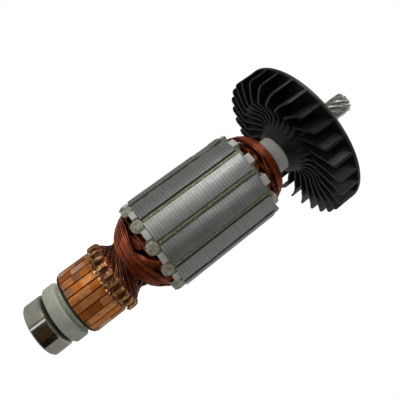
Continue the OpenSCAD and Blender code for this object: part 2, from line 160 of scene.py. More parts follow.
def studio_wall(name, turn, lift, level, colour=(1, 1, 1)):
    """A patch of the studio between two turns and two angles, which only glossy surfaces see."""
    across = max(2, round((turn[1] - turn[0]) / 10))
    rows = max(2, round((lift[1] - lift[0]) / 15))
    verts, faces = [], []
    for j in range(rows + 1):
        for i in range(across + 1):
            a = turn[0] + (turn[1] - turn[0]) * i / across
            e = lift[0] + (lift[1] - lift[0]) * j / rows
            verts.append(studio_point(a, e, STUDIO_R))
    for j in range(rows):
        for i in range(across):
            k = j * (across + 1) + i
            faces.append((k, k + 1, k + across + 2, k + across + 1))
    wall = make_mesh(name, verts, faces)
    mat = bpy.data.materials.new(name)
    mat.use_nodes = True
    mat.cycles.emission_sampling = "AUTO" if level > SPARK_LEVEL else "NONE"
    tree = mat.node_tree
    tree.nodes.clear()
    glow = tree.nodes.new("ShaderNodeEmission")
    glow.inputs["Color"].default_value = (*colour, 1)
    glow.inputs["Strength"].default_value = level
    out = tree.nodes.new("ShaderNodeOutputMaterial")
    tree.links.new(glow.outputs[0], out.inputs["Surface"])
    wall.data.materials.append(mat)
    wall.visible_camera = wall.visible_diffuse = False
    wall.visible_shadow = wall.visible_transmission = False


def make_studio():
    """What the metal reflects: from the floor up, bands of pale wall with a window at the
    camera's left and a dark doorway in front, a ceiling and two small bright sparks."""
    warm, cool, blue = (1.0, 0.98, 0.90), (0.97, 1.0, 0.97), (0.8, 0.9, 1.0)
    floor, desk, eye, top = -75, -14.5, -4, 50
    low, middle, high = (floor, desk), (desk, eye), (eye, top)
    studio_wall("wall_left_low", (-180, -37), low, 0.36, warm)
    studio_wall("wall_edge_low", (-37, -27), low, 0.16, warm)
    studio_wall("window_low", (-27, -20), low, 1.15, (0.92, 0.96, 1.0))
    studio_wall("doorway_blue_low", (-20, -8), low, 0.03, blue)
    studio_wall("doorway_brown_low", (-8, 40), low, 0.035, (1.0, 0.58, 0.36))
    studio_wall("doorway_black_low", (40, 69), low, 0.006)
    studio_wall("wall_right_low", (69, 180), low, 0.28, warm)
    studio_wall("wall_left_desk", (-180, -60), middle, 0.34, warm)
    studio_wall("window_desk", (-60, -12), middle, 0.80, warm)
    studio_wall("doorway_desk", (-12, 64), middle, 0.24, (1.0, 0.66, 0.40))
    studio_wall("wall_right_desk", (64, 180), middle, 0.36, warm)
    studio_wall("wall_left", (-180, -56), high, 0.22, cool)
    studio_wall("window_foot", (-56, -34), (eye, 6), 0.8, cool)
    studio_wall("window", (-56, -34), (6, top), 2.3, cool)
    studio_wall("curtain", (-34, -12), high, 0.5, cool)
    studio_wall("doorway", (-12, 64), high, 0.06, cool)
    studio_wall("wall_right", (64, 180), high, 0.40, cool)
    studio_wall("ceiling", (-180, 180), (top, 89), 0.6)
    studio_wall("spark_left", (-70, -56), (56, 66), 55.0)
    studio_wall("spark_right", (18, 32), (57, 66), 45.0)


def make_key_lamp():
    """A soft lamp from the top of the photograph, which gloss doesn't show."""
    target = Vector((0, 0, 80)) * MM
    data = bpy.data.lights.new("key", "AREA")
    data.shape, data.size, data.energy = "DISK", LAMP_SIZE, LAMP_POWER
    lamp = bpy.data.objects.new("key", data)
    lamp.location = target + studio_point(-72, 24, LAMP_R)
    lamp.rotation_mode = "QUATERNION"
    lamp.rotation_quaternion = (target - lamp.location).to_track_quat("-Z", "Y")
    lamp.visible_glossy = False
    bpy.context.scene.collection.objects.link(lamp)


def make_stage():
    """A white floor, a grey fill all round, the studio and the lamp."""
    half = FLOOR_HALF
    corners = [(-half, -half, 0), (half, -half, 0), (half, half, 0), (-half, half, 0)]
    floor = make_mesh("floor", corners, [(0, 1, 2, 3)])
    floor.data.materials.append(backdrop_material())
    floor.visible_glossy = False
    make_world()
    make_studio()
    make_key_lamp()


# Finishes

class Finish:
    """A procedural material on the object's own coordinates, in millimetres."""

    def __init__(self, name, **values):
        self.mat = bpy.data.materials.new(name)
        self.mat.use_nodes = True
        self.tree = self.mat.node_tree
        self.shader = self.tree.nodes["Principled BSDF"]
        for key, value in values.items():
            self.shader.inputs[key.replace("_", " ")].default_value = value
        coords = self.tree.nodes.new("ShaderNodeTexCoord")
        scale = self.tree.nodes.new("ShaderNodeVectorMath")
        scale.operation = "SCALE"
        scale.inputs["Scale"].default_value = 1 / MM
        self.link(coords.outputs["Object"], scale.inputs[0])
        self.place = scale.outputs[0]
        split = self.tree.nodes.new("ShaderNodeSeparateXYZ")
        self.link(self.place, split.inputs[0])
        self.x, self.y, self.z = split.outputs

    def link(self, a, b):
        self.tree.links.new(a, b)

    def put(self, socket, value):
        """Sets a socket to a number or a tuple, or links it to another socket."""
        if isinstance(value, (int, float, tuple)):
            socket.default_value = value
        else:
            self.link(value, socket)

    def math(self, operation, a, b=0.0, c=0.0):
        node = self.tree.nodes.new("ShaderNodeMath")
        node.operation = operation
        for socket, value in zip(node.inputs, (a, b, c)):
            self.put(socket, value)
        return node.outputs[0]

    def turn(self):
        """The angle about the axis in degrees."""
        angle = self.math("ARCTAN2", self.y, self.x)
        return self.math("MULTIPLY", angle, 180 / math.pi)

    def point(self, x, y, z):
        node = self.tree.nodes.new("ShaderNodeCombineXYZ")
        for socket, value in zip(node.inputs, (x, y, z)):
            self.put(socket, value)
        return node.outputs[0]

    def noise(self, size, detail=3.0, stretch=(1, 1, 1), warp=0.0):
        """Noise whose features are about size millimetres across, stretched along each axis."""
        mapping = self.tree.nodes.new("ShaderNodeMapping")
        mapping.inputs["Scale"].default_value = tuple(1 / (size * s) for s in stretch)
        self.link(self.place, mapping.inputs["Vector"])
        node = self.tree.nodes.new("ShaderNodeTexNoise")
        node.inputs["Scale"].default_value = 1.0
        node.inputs["Detail"].default_value = detail
        node.inputs["Roughness"].default_value = 0.55
        node.inputs["Distortion"].default_value = warp
        self.link(mapping.outputs[0], node.inputs["Vector"])
        return node.outputs["Fac"]

    def z_share(self, start, end):
        """0 at one height and 1 at the other."""
        return self.math("DIVIDE", self.math("SUBTRACT", self.z, start), end - start)

    def tone(self):
        """The number that a wire's own vertices carry."""
        node = self.tree.nodes.new("ShaderNodeAttribute")
        node.attribute_name = "tone"
        return node.outputs["Fac"]

    def cells(self, at):
        """One random number for each whole-number place."""
        node = self.tree.nodes.new("ShaderNodeTexWhiteNoise")
        self.link(at, node.inputs["Vector"])
        return node.outputs["Value"]

    def ramp(self, fac, *stops):
        """A colour or grey from position and value pairs."""
        node = self.tree.nodes.new("ShaderNodeValToRGB")
        elements = node.color_ramp.elements
        while len(elements) < len(stops):
            elements.new(0.5)
        for element, (place, value) in zip(elements, stops):
            element.position = place
            element.color = (*(value if isinstance(value, tuple) else (value,) * 3), 1)
        self.put(node.inputs["Fac"], fac)
        return node.outputs["Color"]

    def mix(self, fac, a, b):
        node = self.tree.nodes.new("ShaderNodeMix")
        node.data_type = "RGBA"
        self.put(node.inputs[0], fac)
        for socket, value in ((node.inputs[6], a), (node.inputs[7], b)):
            self.put(socket, (*value, 1) if isinstance(value, tuple) else value)
        return node.outputs[2]

    def bump(self, height, depth, under=None):
        """A bump of that depth in millimetres, on top of another one."""
        node = self.tree.nodes.new("ShaderNodeBump")
        node.inputs["Distance"].default_value = depth * MM
        self.link(height, node.inputs["Height"])
        if under:
            self.link(under, node.inputs["Normal"])
        return node.outputs["Normal"]

    def paint(self, **sockets):
        for key, value in sockets.items():
            self.put(self.shader.inputs[key.replace("_", " ")], value)
        return self.mat


def ball_race_steel():
    """Polished steel with faint turned lines and smudges."""
    f = Finish("race_steel", Metallic=1.0)
    smudge = f.noise(3.0, detail=4)
    turned = f.noise(0.6, detail=2, stretch=(1, 1, 12))
    colour = f.ramp(smudge, (0.3, (0.54, 0.52, 0.46)), (0.7, (0.66, 0.64, 0.58)))
    rough = f.ramp(smudge, (0.3, 0.08), (0.75, 0.12))
    return f.paint(Base_Color=colour, Roughness=rough, Normal=f.bump(turned, 0.001))


def shaft_steel():
    """Satin steel with turned lines round the axis."""
    f = Finish("shaft_steel", Metallic=0.9)
    rings = f.noise(0.25, detail=2, stretch=(40, 40, 1))
    smudge = f.noise(2.5, detail=4)
    colour = f.ramp(smudge, (0.3, (0.36, 0.35, 0.32)), (0.7, (0.50, 0.49, 0.46)))
    rough = f.ramp(smudge, (0.3, 0.28), (0.8, 0.42))
    return f.paint(Base_Color=colour, Roughness=rough, Normal=f.bump(rings, 0.006))


def plain_steel(name, colour, rough):
    """Metal with smudges in its colour and gloss."""
    f = Finish(name, Metallic=1.0)
    smudge = f.noise(1.5, detail=3)
    low = tuple(c * 0.85 for c in colour)
    shade = f.ramp(smudge, (0.3, low), (0.7, colour))
    gloss = f.ramp(smudge, (0.3, rough * 0.8), (0.8, rough * 1.2))
    return f.paint(Base_Color=shade, Roughness=gloss)


def lamination_steel():
    """Stacked sheets: fine lines across the axis, a brushed grey and a paler sheet in three."""
    sheet = 0.47
    own_tone, third_tone = 0.35, 0.95
    f = Finish("lamination_steel", Metallic=0.8)
    layer = f.math("FLOOR", f.math("DIVIDE", f.z, sheet))
    third = f.math("FRACT", f.math("DIVIDE", layer, 3.0))
    own = f.cells(f.point(0.0, 0.0, layer))
    shade = f.math("MULTIPLY_ADD", own, own_tone, f.math("MULTIPLY", third, third_tone))
    phase = f.math("FRACT", f.math("DIVIDE", f.z, sheet))
    edge = f.math("ABSOLUTE", f.math("SUBTRACT", phase, 0.5))
    groove = f.ramp(edge, (0.30, 1.0), (0.48, 0.0))
    scratch = f.noise(0.35, detail=3, stretch=(1, 1, 4))
    cloud = f.noise(7, detail=3)
    grey = f.mix(shade, (0.33, 0.335, 0.325), (0.53, 0.537, 0.525))
    grey = f.mix(f.ramp(groove, (0.0, 0.92), (1.0, 0.0)), grey, (0.06, 0.06, 0.055))
    grey = f.mix(f.ramp(scratch, (0.3, 0.4), (0.7, 0.0)), grey, (0.20, 0.20, 0.19))
    grey = f.mix(f.ramp(cloud, (0.35, 0.22), (0.65, 0.0)), grey, (0.22, 0.215, 0.19))
    rough = f.ramp(cloud, (0.3, 0.29), (0.7, 0.36))
    return f.paint(Base_Color=grey, Roughness=rough, Normal=f.bump(groove, 0.04))


def slot_resin():
    """Wedges under baked varnish: olive in the slots, paler and cloudy where they swell at the
    rear."""
    f = Finish("slot_resin", Coat_Weight=0.7, Coat_Roughness=0.1)
    cloud = f.noise(1.1, detail=4, warp=0.5)
    lump = f.noise(0.7, detail=2, warp=0.6)
    swell = f.z_share(54.6, 53.6)
    deep = f.mix(swell, (0.100, 0.098, 0.055), (0.155, 0.148, 0.092))
    pale = f.mix(swell, (0.19, 0.185, 0.115), (0.40, 0.385, 0.285))
    colour = f.mix(f.ramp(cloud, (0.34, 0.0), (0.64, 1.0)), deep, pale)
    relief = f.bump(lump, 0.30, under=f.bump(cloud, 0.10))
    return f.paint(Base_Color=colour, Roughness=0.3, Normal=relief)


def resin(name, deep, pale, rough, grain=1.2, coat=0.5, painted_glints=(0.28, 0.66, 1.7)):
    """Varnished sheet or ridge, with painted glints of a size, threshold and brightness in its
    colour.
    """
    size, start, glint = painted_glints
    f = Finish(name, Coat_Weight=coat, Coat_Roughness=0.12)
    cloud = f.noise(grain, detail=4, warp=0.4)
    dots = f.noise(size, detail=2)
    colour = f.ramp(cloud, (0.32, deep), (0.66, pale))
    # Painted glints: specks over the threshold are painted up to glint times the pale colour.
    painted_glint_colour = tuple(min(1, c * glint) for c in pale)
    colour = f.mix(f.ramp(dots, (start, 0.0), (start + 0.08, 0.7)), colour, painted_glint_colour)
    relief = f.bump(cloud, 0.05, under=f.bump(dots, 0.02))
    return f.paint(Base_Color=colour, Roughness=rough, Normal=relief)


def moulded(name, deep, pale, rough, grain=0.35, depth=0.01, coat=0.0):
    """Moulded plastic with a faint mottle and a fine matt grain."""
    f = Finish(name, Coat_Weight=coat, Coat_Roughness=0.2)
    cloud = f.noise(4, detail=4)
    fine = f.noise(grain, detail=3)
    colour = f.ramp(cloud, (0.3, deep), (0.7, pale))
    gloss = f.ramp(cloud, (0.3, rough * 0.85), (0.7, rough * 1.15))
    return f.paint(Base_Color=colour, Roughness=gloss, Normal=f.bump(fine, depth))


def bar_copper():
    """Copper bars under varnish, in blocks of orange, brown, tan and painted highlight, with
    bronze hooks.
    """
    f = Finish("bar_copper", Metallic=0.65, Coat_Weight=0.15, Coat_Roughness=0.12)
    bar = f.math("FLOOR", f.math("DIVIDE", f.math("SUBTRACT", f.turn(), GAP_TURN), BAR_PITCH))
    slide = f.math("MULTIPLY", f.cells(f.point(bar, 8.0, 1.0)), 9.0)
    length = f.math("MULTIPLY_ADD", f.cells(f.point(bar, 2.0, 5.0)), 3.0, 3.2)
    block = f.math("FLOOR", f.math("DIVIDE", f.math("ADD", f.z, slide), length))
    tone = f.cells(f.point(bar, block, 17.0))
    # Painted highlight: some blocks are painted a whitish pale, standing in for a reflection on
    # the bars.
    painted_highlight = f.cells(f.point(bar, block, 29.0))
    grain = f.noise(0.3, detail=4, stretch=(1, 1, 14))
    cloud = f.noise(1.8, detail=4)
    colour = f.ramp(
        tone, (0.0, (0.36, 0.085, 0.012)), (0.3, (0.84, 0.235, 0.020)),
        (0.6, (0.92, 0.38, 0.135)), (0.8, (0.42, 0.135, 0.038)), (1.0, (0.50, 0.23, 0.11)))
    colour = f.mix(f.ramp(painted_highlight, (0.90, 0.0), (0.92, 0.75)), colour, (0.80, 0.66, 0.52))
    colour = f.mix(f.ramp(cloud, (0.34, 0.45), (0.5, 0.0)), colour, (0.28, 0.095, 0.022))
    colour = f.mix(f.ramp(grain, (0.3, 0.35), (0.6, 0.0)), colour, (0.20, 0.075, 0.02))
    lump = f.noise(1.3, detail=2, warp=0.4)
    bronze = f.ramp(
        lump, (0.34, (0.16, 0.060, 0.018)), (0.5, (0.50, 0.235, 0.08)),
        (0.66, (0.80, 0.47, 0.20)))
    hook = f.ramp(f.z_share(28.9, 29.9), (0.0, 0.0), (1.0, 1.0))
    rough = f.ramp(cloud, (0.3, 0.40), (0.7, 0.29))
    relief = f.bump(f.math("MULTIPLY", lump, hook), 0.25, under=f.bump(grain, 0.012))
    return f.paint(Base_Color=f.mix(hook, colour, bronze), Roughness=rough, Normal=relief)


def ring_nylon():
    """Pale green-grey nylon letting a little light through, with painted light on its upper face.
    """
    f = Finish("ring_nylon", Roughness=0.5, Subsurface_Weight=0.5, Subsurface_Scale=2.5 * MM)
    f.shader.inputs["Subsurface Radius"].default_value = (1.0, 1.0, 0.8)
    cloud = f.noise(4, detail=4)
    fine = f.noise(0.35, detail=3)
    rim = f.ramp(cloud, (0.3, (0.37, 0.40, 0.31)), (0.7, (0.45, 0.48, 0.385)))
    # Painted light: the upper face is painted about twice as pale as the rim, standing in for
    # light it lacks in the commutator's shade.
    face = f.ramp(cloud, (0.3, (0.86, 0.90, 0.74)), (0.7, (0.93, 0.97, 0.81)))
    colour = f.mix(f.z_share(13.1, 13.3), rim, face)
    return f.paint(Base_Color=colour, Normal=f.bump(fine, 0.01))


def hub_phenolic():
    """Black collar, and red-brown with dust and varnish between the bars and behind the
    hooks."""
    f = Finish("hub_phenolic", Specular_IOR_Level=0.15, Roughness=0.5)
    cloud = f.noise(0.9, detail=4, warp=0.4)
    collar = f.ramp(cloud, (0.35, (0.012, 0.012, 0.008)), (0.7, (0.050, 0.048, 0.030)))
    inside = f.ramp(cloud, (0.35, (0.07, 0.020, 0.006)), (0.7, (0.20, 0.070, 0.022)))
    colour = f.mix(f.z_share(17.2, 17.6), collar, inside)
    return f.paint(Base_Color=colour, Normal=f.bump(cloud, 0.08))


def tube_paper():
    """Grey paper tube, near black between the hooks and the winding: varnish and painted shade."""
    f = Finish("tube_paper", Roughness=0.5, Coat_Weight=0.1, Coat_Roughness=0.2)
    cloud = f.noise(0.8, detail=4, warp=0.4)
    clean = f.ramp(cloud, (0.32, (0.52, 0.51, 0.46)), (0.66, (0.72, 0.71, 0.66)))
    # Near black below 60 mm: partly varnish soaking, partly painted shade where the leads cover
    # the tube.
    soaked = f.ramp(cloud, (0.35, (0.012, 0.005, 0.003)), (0.7, (0.07, 0.028, 0.013)))
    colour = f.mix(f.z_share(60.0, 61.0), soaked, clean)
    return f.paint(Base_Color=colour, Normal=f.bump(cloud, 0.05))


def wire_enamel(name, deep, pale):
    """Enamelled copper wire under baked varnish, each wire with its own tone."""
    f = Finish(name, Metallic=0.8, Coat_Weight=0.8, Coat_Roughness=0.08, Roughness=0.29)
    pool = f.noise(3.0, detail=3, warp=0.3)
    fleck = f.noise(0.6, detail=2)
    soaked = tuple(c * 0.4 for c in deep)
    colour = f.mix(f.tone(), deep, pale)
    colour = f.mix(f.ramp(pool, (0.34, 0.65), (0.52, 0.0)), colour, soaked)
    return f.paint(Base_Color=colour, Normal=f.bump(fleck, 0.03))


def dress(node, mat):
    for slot in NODES[node].material_slots:
        slot.material = mat


def soften(node, width):
    """Rounds a CAD node's crisp edges a little, which leaves its own mesh as it is."""
    obj = NODES[node]
    weld = obj.modifiers.new("weld", "WELD")
    weld.merge_threshold = 0.002 * MM
    bevel = obj.modifiers.new("soft edges", "BEVEL")
    bevel.width = width * MM
    bevel.segments = 2
    bevel.limit_method = "ANGLE"
    bevel.angle_limit = math.radians(38)
    bevel.use_clamp_overlap = True
    bevel.harden_normals = True


def dress_nodes():
    """Gives every CAD node that stays its finish, and some of them softer edges."""
    dress("bearing_outer_race", ball_race_steel())
    dress("bearing_inner_race", plain_steel("inner_race_steel", (0.60, 0.58, 0.53), 0.22))
    dress("bearing_balls", plain_steel("ball_steel", (0.70, 0.70, 0.70), 0.08))
    dress("bearing_cage", plain_steel("cage_steel", (0.45, 0.36, 0.20), 0.35))
    seal = moulded("seal_rubber", (0.075, 0.070, 0.045), (0.13, 0.12, 0.085), 0.5)
    dress("bearing_seal_rear", seal)
    dress("bearing_seal_front", seal)
    dress("shaft", shaft_steel())
    dress("lamination_stack", lamination_steel())
    white = moulded("end_insulator", (0.40, 0.39, 0.34), (0.56, 0.55, 0.50), 0.4, coat=0.2)
    dress("end_insulator_rear", white)
    dress("end_insulator_front", white)
    # The liner paper carries the resin's painted glints.
    dress("slot_liners", resin("liner_paper", (0.30, 0.28, 0.18), (0.42, 0.40, 0.30), 0.4))
    dress("slot_wedges", slot_resin())
    dress("insulating_ring", ring_nylon())
    dress("commutator_hub", hub_phenolic())
    dress("insulating_tube", tube_paper())
    black, soot = (0.006, 0.007, 0.007), (0.011, 0.012, 0.012)
    dress("fan", moulded("fan_plastic", black, soot, 0.42, grain=0.25, depth=0.006))
    copper = bar_copper()
    for i in range(BARS):
        dress(f"commutator_bar_{i + 1}", copper)
    edges = {"end_insulator_rear": 0.25, "end_insulator_front": 0.25, "insulating_ring": 0.3,
             "fan": 0.12, **{f"commutator_bar_{i + 1}": 0.2 for i in range(BARS)}}
    for name, width in edges.items():
        soften(name, width)


# Wires

WIRE_SIDES = 6


def wire_rings(points, ahead, radius):
    """The vertices of round wire: a ring about each point, square to the way ahead."""
    ahead = ahead / np.linalg.norm(ahead, axis=1)[:, None]
    across = np.cross(ahead, points * (1, 1, 0))
    across /= np.linalg.norm(across, axis=1)[:, None]
    up = np.cross(across, ahead)
    angles = [2 * math.pi * k / WIRE_SIDES for k in range(WIRE_SIDES)]
    rings = [points + radius * (math.cos(a) * across + math.sin(a) * up) for a in angles]
    return np.stack(rings, 1).reshape(-1, 3)


def wire_quads(rings, closed):
    """The faces between the rings, and from the last to the first of a closed wire."""
    i = np.arange(rings if closed else rings - 1)[:, None]
    here, ahead = i * WIRE_SIDES, (i + 1) % rings * WIRE_SIDES
    k = np.arange(WIRE_SIDES)[None, :]
    m = (k + 1) % WIRE_SIDES
    return np.stack([here + k, here + m, ahead + m, ahead + k], -1).reshape(-1, 4)


def wire_loop(points, radius):
    """Vertices and faces of a closed loop of round wire."""
    ahead = np.roll(points, -1, 0) - np.roll(points, 1, 0)
    return wire_rings(points, ahead, radius), wire_quads(len(points), True)


def wire_rod(points, radius):
    """Vertices and faces of an open wire with closed ends."""
    last = (len(points) - 1) * WIRE_SIDES
    faces = [tuple(quad) for quad in wire_quads(len(points), False).tolist()]
    faces.append(tuple(range(WIRE_SIDES))[::-1])
    faces.append(tuple(last + k for k in range(WIRE_SIDES)))
    return wire_rings(points, np.gradient(points, axis=0), radius), faces


def spline(points, steps):
    """A smooth line through the points."""
    points = np.vstack([2 * points[0] - points[1], points, 2 * points[-1] - points[-2]])
    out = []
    for i in range(1, len(points) - 2):
        p0, p1, p2, p3 = points[i - 1:i + 3]
        for k in range(steps):
            t = k / steps
            out.append(0.5 * (2 * p1 + (p2 - p0) * t
                              + (2 * p0 - 5 * p1 + 4 * p2 - p3) * t ** 2
                              + (3 * p1 - p0 - 3 * p2 + p3) * t ** 3))
    out.append(points[-2])
    return np.array(out)


def smooth_line(line, fixed, passes):
    """Relaxes a closed line of points, apart from the fixed ones."""
    for _ in range(passes):
        mean = (np.roll(line, 1, 0) + np.roll(line, -1, 0)) / 2
        line = np.where(fixed[:, None], line, line * 0.5 + mean * 0.5)
    return line


def join(parts):
    """One set of vertices and faces from several."""
    verts, faces, base = [], [], 0
    for v, f in parts:
        verts.append(np.asarray(v))
        faces += [tuple(base + i for i in face) for face in f]
        base += len(v)
    return np.concatenate(verts), faces


# Winding

WIRE_R = 0.29
COLUMNS, ROWS = 15, 3
LAYERS = 6
TOP_LAYER = LAYERS - 1
HIGHEST_LEVEL = 5.75
FIRST_FOOT = 11.5
SPAN_SLOTS = 5
HALF_SPAN = SPAN_SLOTS / 2 * SLOT_PITCH
ARC_STEPS = 20
SMOOTHING = 9
# The room kept under a layer's foot, and the share of the way where a wire dives to its slot
FOOT_ROOM, DIVE = 0.45, 0.85
# The wires' rows in the inner and outer half of a slot, the half width of a tooth, and the
# room that liner and wire take beside it
INNER_ROWS, OUTER_ROWS, SLOT_ROWS = (11.7, 14.9), (15.4, 18.25), 6
TOOTH_HALF, WALL_ROOM = 2.07, 0.55
# How the end turns stand over an end of the core. z, core: where they and the core begin;
# foot, crown, power: the outermost dome's radius, height and roundness; deep: how deep the
# lower layers lie; lowest: the top layer's lowest level; tuck: how far its lower wires draw
# in. Then the edges of the bundles, as the angle from the coil's middle and the radius.
REAR = dict(
    z=TURNS_LOW, core=CORE_LOW, sign=-1,
    foot=18.2, crown=11.0, power=1.45, deep=1.0, lowest=4.5, tuck=1.9,
    inner=((-75, 15.4), (-60, 13.0), (-45, 10.8), (-30, 9.3), (0, 8.8), (30, 8.9), (45, 10.4),
           (60, 13.0), (75, 15.2)),
    outer=((-75, 18.2), (-38, 17.7), (-19, 16.9), (-5, 16.0), (11, 15.6), (26, 16.1),
           (40, 17.2), (60, 18.0), (75, 18.2)),
    under=((0, 12.6), (25, 13.2), (36, 14.4), (45, 15.8), (53, 16.7), (75, 17.3))
)
FRONT = dict(
    z=TURNS_HIGH, core=CORE_HIGH, sign=1,
    foot=17.4, crown=9.6, power=1.9, deep=0.8, lowest=3.9, tuck=2.6,
    inner=((-75, 15.2), (-55, 13.8), (-30, 12.2), (0, 12.2), (25, 12.9), (45, 14.2),
           (60, 15.2), (75, 15.6)),
    outer=((-75, 17.3), (-38, 16.9), (0, 16.5), (30, 16.5), (46, 16.9), (75, 17.3)),
    under=((0, 12.4), (36, 13.6), (50, 15.0), (60, 15.9), (75, 16.8))
)
OUTER_HALF_LOW = ((0, 8.9), (30, 9.3), (45, 11.0), (57, 13.2), (66, 14.7), (75, 15.6))
INNER_HALF_LOW = ((0, 8.9), (45, 9.4), (60, 10.4), (75, 11.7))
INNER_HALF_HIGH = ((0, 12.4), (45, 13.0), (60, 13.8), (75, 14.8))
# Radius and rise over the end turns' plane, from the tube to the foot of the soaked turns
HEART_PROFILE = ((8.3, 5.6), (9.3, 5.4), (10.4, 4.8), (11.6, 3.8), (12.9, 2.7), (14.2, 1.8),
                 (15.8, 1.2), (17.0, 0.7), (17.2, 0.0))
HEART_STEPS = 96
HEART_LUMP = 0.12


def layer_foot(end, level):
    """Radius at which a layer level meets the end insulator."""
    return FIRST_FOOT + (end["foot"] - FIRST_FOOT) * (level + 1) / (LAYERS + 1)


def dome_rise(end, level, r):
    """How far the end turns of a layer level stand off the core at radius r."""
    foot = layer_foot(end, level)
    crown = 1 + (end["crown"] - 1) * level / LAYERS
    u = np.clip((r - TUBE_R) / (foot - TUBE_R), 0.0, 1.0)
    return crown * (1 - u ** end["power"]) ** (1 / end["power"])


def bundle_edges(end, layer, side, turn):
    """The least and the greatest radius of a coil's bundle at an angle from its middle."""
    if layer == TOP_LAYER:
        edges = end["inner"], end["outer"]
    elif side > 0 and layer > 0:
        edges, turn = (OUTER_HALF_LOW, end["under"]), abs(turn)
    else:
        edges, turn = (INNER_HALF_LOW, INNER_HALF_HIGH), abs(turn)
    return [np.interp(turn, *zip(*edge)) for edge in edges]


def end_arc(end, layer, row, column, slots, rng):
    """One wire's way over the end turns from one slot to the other, in the coil's own frame.
    Row and column are its places in the bundle from 0 to 1."""
    if layer == TOP_LAYER:
        row = min(1, max(0, row + rng.uniform(-0.1, 0.1)))
        lowest = end["lowest"]
        level = lowest + (HIGHEST_LEVEL - lowest) * row + rng.normal(0, 0.03)
        tuck, loose = end["tuck"] * (1 - row), 0.025
    else:
        level = (layer + 0.18 + 0.64 * row) * end["deep"] + rng.normal(0, 0.08)
        tuck, loose = 0.8 * (1 - row), 0.05
    shift, drift = rng.uniform(0, 2 * math.pi), rng.normal(0, loose)
    halves = []
    for side, (slot_r, slot_s) in zip((-1, 1), slots):
        reach = HALF_SPAN + side * math.degrees(slot_s / slot_r)
        half = []
        for i in range(ARC_STEPS):
            share = i / (ARC_STEPS - 0.4)
            angle = math.radians(reach * share)
            sway = loose * math.sin(shift + side * 3.2 * share) + drift * side * share
            wander = column + sway * (1 - share)
            low, high = bundle_edges(end, layer, side, side * reach * share)
            high -= tuck * min(1, 2.5 * (1 - share))
            r = low + (high - low) * min(1, max(0, wander))
            r = min(r, layer_foot(end, level) - FOOT_ROOM)
            r += (slot_r - r) * max(0, (share - DIVE) / 0.15) ** 2
            z = end["z"] + end["sign"] * dome_rise(end, level, r)
            half.append((r * math.cos(angle), side * r * math.sin(angle), z))
        halves.append(half)
    return np.array(halves[0][::-1] + halves[1][1:])


def slot_place(side, layer, index, count, rng):
    """Radius and sideways offset of one wire in a coil side's half of the slot."""
    inner = layer < TOP_LAYER if side < 0 else layer == 0
    low, high = INNER_ROWS if inner else OUTER_ROWS
    row = index * SLOT_ROWS // count
    per_row = math.ceil(count / SLOT_ROWS)
    r = low + (high - low) * row / (SLOT_ROWS - 1)
    half = r * math.tan(math.radians(SLOT_PITCH / 2)) - TOOTH_HALF - WALL_ROOM
    place = (index % per_row) / max(1, per_row - 1) * 2 - 1
    return r, place * half + rng.normal(0, 0.05)


def slot_legs(end, slots):
    """The last points of a wire's two legs before an end, deepest last."""
    legs = []
    for side, (r, s) in zip((-1, 1), slots):
        turn = math.radians(side * HALF_SPAN)
        x = r * math.cos(turn) - s * math.sin(turn)
        y = r * math.sin(turn) + s * math.cos(turn)
        legs.append([(x, y, end["core"] - end["sign"] * depth) for depth in (-1.6, 0.5, 3.0)])
    return legs


def coil_wires(number):
    """All turns of one coil as closed loops through its two slots."""
    layer = (number - 1) % LAYERS
    rng = np.random.default_rng(SEED + number)
    count = COLUMNS * ROWS
    verts, faces, tones, base = [], [], [], 0
    shades = rng.uniform(0, 1, COLUMNS) ** 1.5
    for index in range(count):
        column, row = divmod(index, ROWS)
        slots = [slot_place(side, layer, index, count, rng) for side in (-1, 1)]
        loop, fixed = [], []
        for end in (REAR, FRONT):
            place = row / (ROWS - 1), column / (COLUMNS - 1)
            line = end_arc(end, layer, *place, slots, rng)
            first, second = slot_legs(end, slots)
            whole = first[::-1] + [tuple(p) for p in line] + second
            hold = [True, True, False] + [False] * len(line) + [False, True, True]
            if end is FRONT:
                whole, hold = whole[::-1], hold[::-1]
            loop += whole
            fixed += hold
        v, f = wire_loop(smooth_line(np.array(loop), np.array(fixed), SMOOTHING), WIRE_R)
        verts.append(v)
        faces.append(f + base)
        tones.append(np.full(len(v), 0.65 * shades[column] + 0.35 * rng.uniform(0, 1)))
        base += len(v)
    turn = math.radians(SLOT_TURN + (number + SPAN_SLOTS / 2) * SLOT_PITCH)
    c, s = math.cos(turn), math.sin(turn)
    verts = np.concatenate(verts) @ np.array([[c, s, 0], [-s, c, 0], [0, 0, 1]]) * MM
    return verts, np.concatenate(faces), np.concatenate(tones)


def winding_heart(end, seed):
    """The innermost turns of an end, soaked into one lumpy ring about the tube, in painted shade.
    """
    rng = np.random.default_rng(seed)
    waves = rng.uniform(0, 2 * math.pi, 5)
    around = HEART_STEPS
    verts, faces = [], []
    for r, rise in HEART_PROFILE:
        for k in range(around):
            a = 2 * math.pi * k / around
            lump = sum(math.sin((5 + 4 * n) * a + wave + 0.7 * rise)
                       for n, wave in enumerate(waves)) * HEART_LUMP
            z = end["z"] + end["sign"] * (rise + lump)
            verts.append(((r + lump) * math.cos(a), (r + lump) * math.sin(a), z))
    last = len(HEART_PROFILE) - 1
    for j in range(last):
        for k in range(around):
            m = (k + 1) % around
            near, far = j * around, (j + 1) * around
            quad = (near + k, near + m, far + m, far + k)
            faces.append(quad if end["sign"] < 0 else quad[::-1])
    faces.append(tuple(range(around))[::end["sign"]])
    faces.append(tuple(last * around + k for k in range(around))[::-end["sign"]])
    # Tone 0 throughout: the enamel's darkest colour, as painted shade deep under the wires.
    return np.array(verts) * MM, faces, np.zeros(len(verts))


